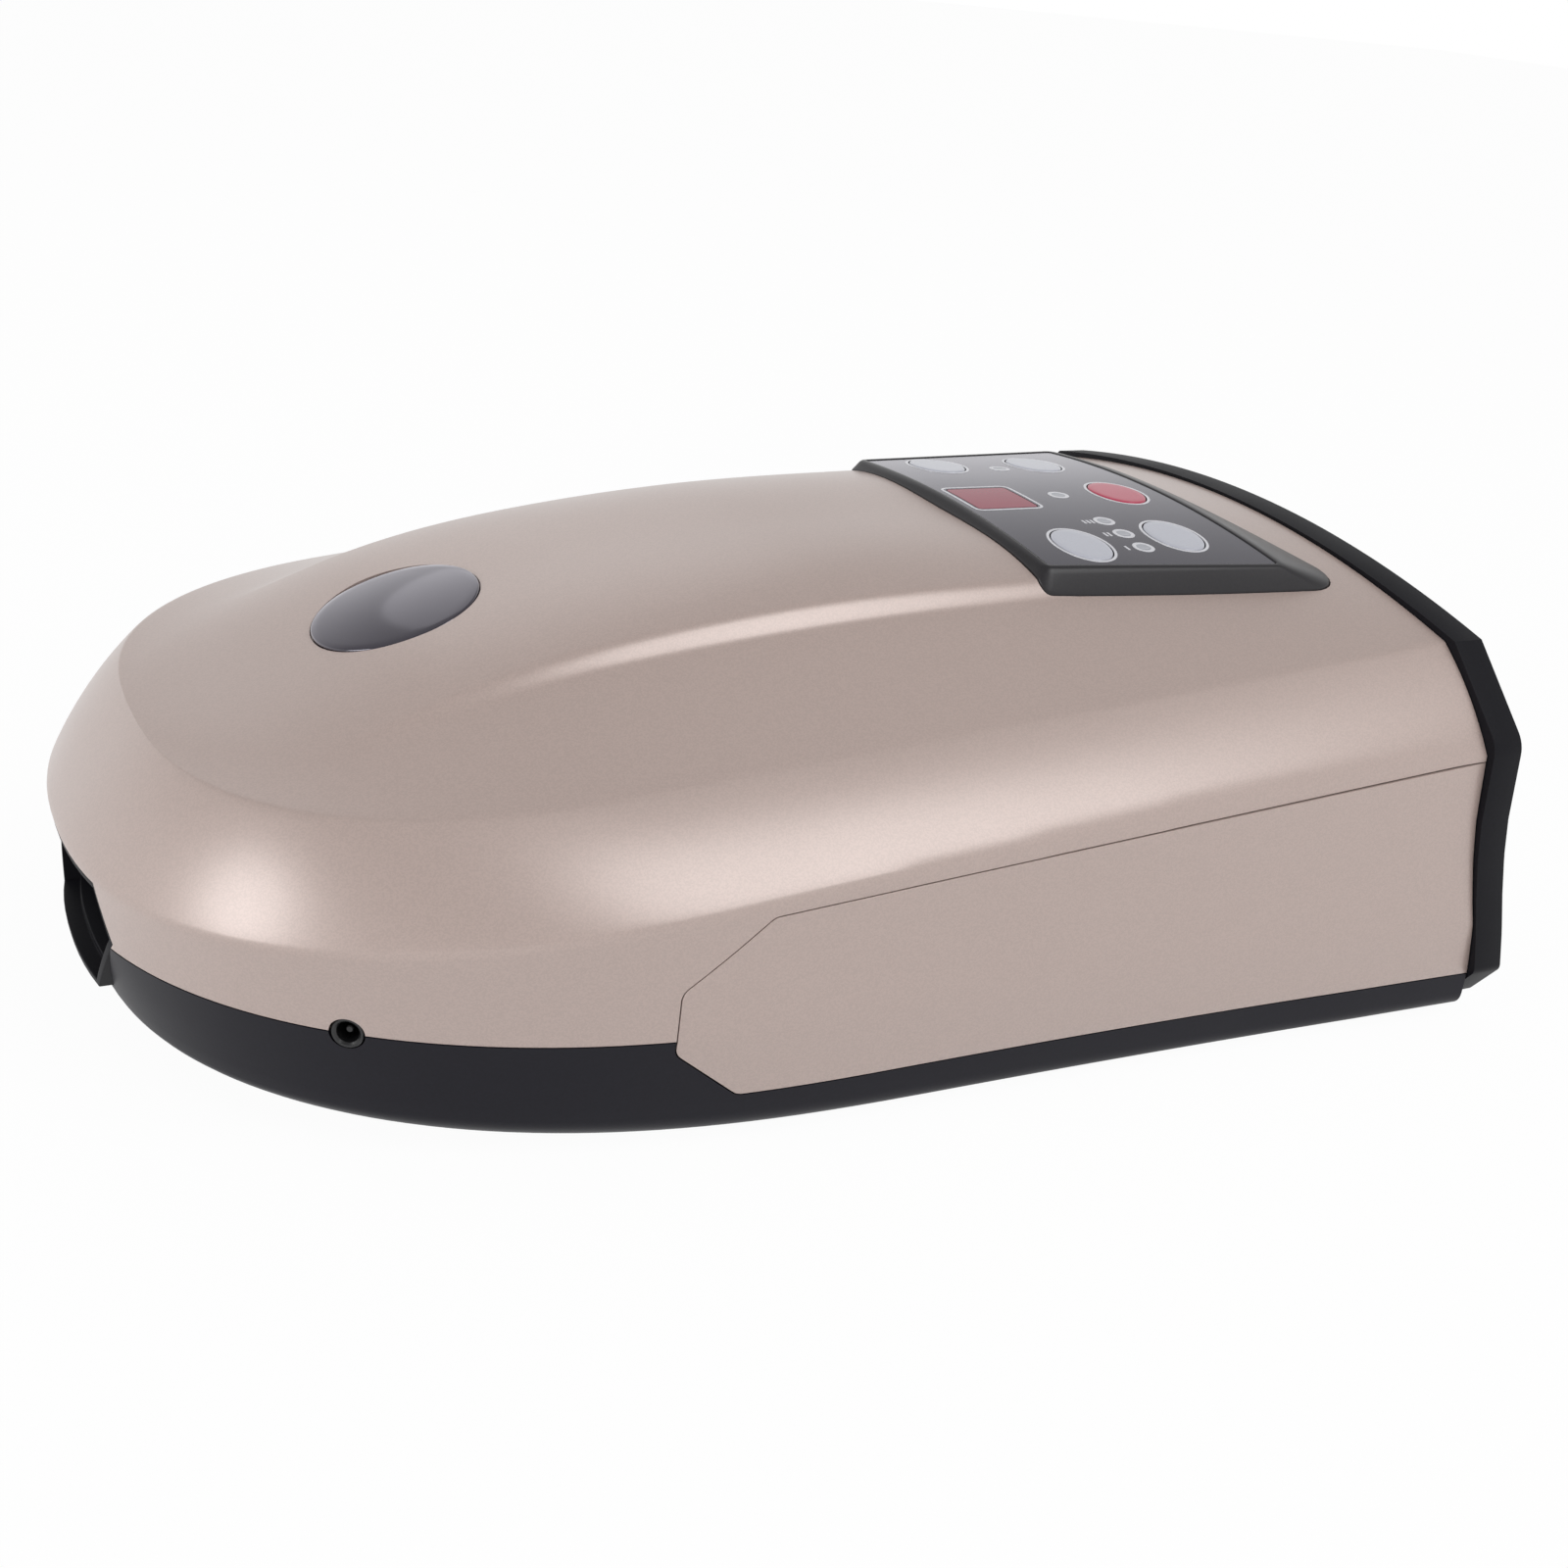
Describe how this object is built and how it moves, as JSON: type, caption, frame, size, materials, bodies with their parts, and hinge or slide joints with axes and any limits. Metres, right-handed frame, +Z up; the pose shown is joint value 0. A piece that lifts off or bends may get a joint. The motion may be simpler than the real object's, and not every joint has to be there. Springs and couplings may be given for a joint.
{
  "type": "hand massager",
  "caption": "Table-top air-pressure hand massager: champagne shell on a black base, raised control panel, tunnel for a hand from the rear entry to a finger window in the nose.",
  "frame": {"origin": "centre of the bounding box on the surface that the part stands on", "axes": "+X from the nose towards the hand entry, +Z up, the side seen in the picture faces -Y"},
  "size_m": [0.3382, 0.2236, 0.1105],
  "materials": {
    "champagne_paint": "satin metallic champagne lacquer on a moulded plastic shell",
    "base_black": "satin black",
    "trim_black": "matte black",
    "bezel_black": "satin black",
    "badge_gloss": "gloss black dome",
    "film_gloss": "gloss black overlay",
    "window_red": "smoked red window",
    "key_white": "pale grey with a silver outline",
    "key_red": "red with a silver outline",
    "light_pipe": "milky clear",
    "liner_cloth": "black woven liner",
    "pad_cloth": "black padded cloth",
    "tray_plastic": "moulded dark grey",
    "plate_plastic": "moulded off-white",
    "pump_plastic": "moulded off-white",
    "bag_film": "soft welded film",
    "heater_film": "amber heating film",
    "board_green": "green circuit board",
    "module_black": "black module",
    "jack_black": "black moulded socket",
    "cell_wrap": "blue shrink wrap",
    "hose_rubber": "pale silicone",
    "lead_jacket": "black sleeve",
    "foot_rubber": "black rubber",
    "steel": "plated steel"
  },
  "bodies": {
    "casing": {"upper_shell": "champagne_paint", "base_tray": "base_black", "side_panel_near": "champagne_paint", "side_panel_far": "champagne_paint", "entry_trim": "trim_black", "finger_window_frame": "trim_black", "tunnel_liner": "liner_cloth", "badge_cap": "badge_gloss", "control_bezel": "bezel_black", "control_film": "film_gloss", "display_window": "window_red", "light_guide": "light_pipe", "control_board": "board_green", "display_module": "module_black", "dc_jack": "jack_black", "upper_tray": "tray_plastic", "lower_tray": "tray_plastic", "upper_airbag": "bag_film", "lower_airbag": "bag_film", "main_board": "board_green", "battery_pack": "cell_wrap", "battery_cradle": "tray_plastic", "pump_head": "pump_plastic", "pump_motor": "steel", "pump_cradle": "tray_plastic", "front_valve_body": "pump_plastic", "rear_valve_body": "pump_plastic", "air_manifold": "tray_plastic", "pump_hose": "hose_rubber", "upper_bag_hose": "hose_rubber", "lower_bag_hose": "hose_rubber", "control_lead": "lead_jacket", "battery_lead": "lead_jacket", "motor_lead": "lead_jacket", "jack_lead": "lead_jacket", "casing_screw_1": "steel", "tray_screw_1": "steel", "rubber_foot_1": "foot_rubber", "casing_screw_2": "steel", "tray_screw_2": "steel", "rubber_foot_2": "foot_rubber", "casing_screw_3": "steel", "tray_screw_3": "steel", "rubber_foot_3": "foot_rubber", "casing_screw_4": "steel", "tray_screw_4": "steel", "rubber_foot_4": "foot_rubber"},
    "key_timer_cap": {"key_timer": "key_white"},
    "key_pressure_cap": {"key_pressure": "key_white"},
    "key_heat_cap": {"key_heat": "key_white"},
    "key_mode_cap": {"key_mode": "key_white"},
    "key_power_cap": {"key_power": "key_red"},
    "upper_press": {"press_plate": "plate_plastic", "press_pad": "pad_cloth"},
    "lower_press": {"palm_plate": "plate_plastic", "heating_film": "heater_film", "palm_pad": "pad_cloth"},
    "rotor": {"motor_rotor": "steel"},
    "front_plunger": {"front_valve_plunger": "steel"},
    "rear_plunger": {"rear_valve_plunger": "steel"}
  },
  "joints": [
    {"name": "timer_press", "type": "slide", "parent": "casing", "child": "key_timer_cap", "axis": [0, 0, -1], "range_m": [0, 0.0004], "stiffness_N_per_m": 900, "springref_m": -0.0003},
    {"name": "pressure_press", "type": "slide", "parent": "casing", "child": "key_pressure_cap", "axis": [0, 0, -1], "range_m": [0, 0.0004], "stiffness_N_per_m": 900, "springref_m": -0.0003},
    {"name": "heat_press", "type": "slide", "parent": "casing", "child": "key_heat_cap", "axis": [0, 0, -1], "range_m": [0, 0.0004], "stiffness_N_per_m": 900, "springref_m": -0.0003},
    {"name": "mode_press", "type": "slide", "parent": "casing", "child": "key_mode_cap", "axis": [0, 0, -1], "range_m": [0, 0.0004], "stiffness_N_per_m": 900, "springref_m": -0.0003},
    {"name": "power_press", "type": "slide", "parent": "casing", "child": "key_power_cap", "axis": [0, 0, -1], "range_m": [0, 0.0004], "stiffness_N_per_m": 900, "springref_m": -0.0003},
    {"name": "upper_squeeze", "type": "slide", "parent": "casing", "child": "upper_press", "axis": [0, 0, -1], "range_m": [0, 0.014], "stiffness_N_per_m": 900, "springref_m": -0.003, "deforming": ["upper_airbag"]},
    {"name": "lower_squeeze", "type": "slide", "parent": "casing", "child": "lower_press", "axis": [0, 0, 1], "range_m": [0, 0.006], "deforming": ["lower_airbag"]},
    {"name": "motor_spin", "type": "hinge", "parent": "casing", "child": "rotor", "pos_m": [0.0522, -0.0835, 0.022], "axis": [1, 0, 0], "continuous": true},
    {"name": "front_valve_pull", "type": "slide", "parent": "casing", "child": "front_plunger", "axis": [0, 0, -1], "range_m": [0, 0.0015], "stiffness_N_per_m": 300, "springref_m": -0.001},
    {"name": "rear_valve_pull", "type": "slide", "parent": "casing", "child": "rear_plunger", "axis": [0, 0, -1], "range_m": [0, 0.0015], "stiffness_N_per_m": 300, "springref_m": -0.001}
  ]
}
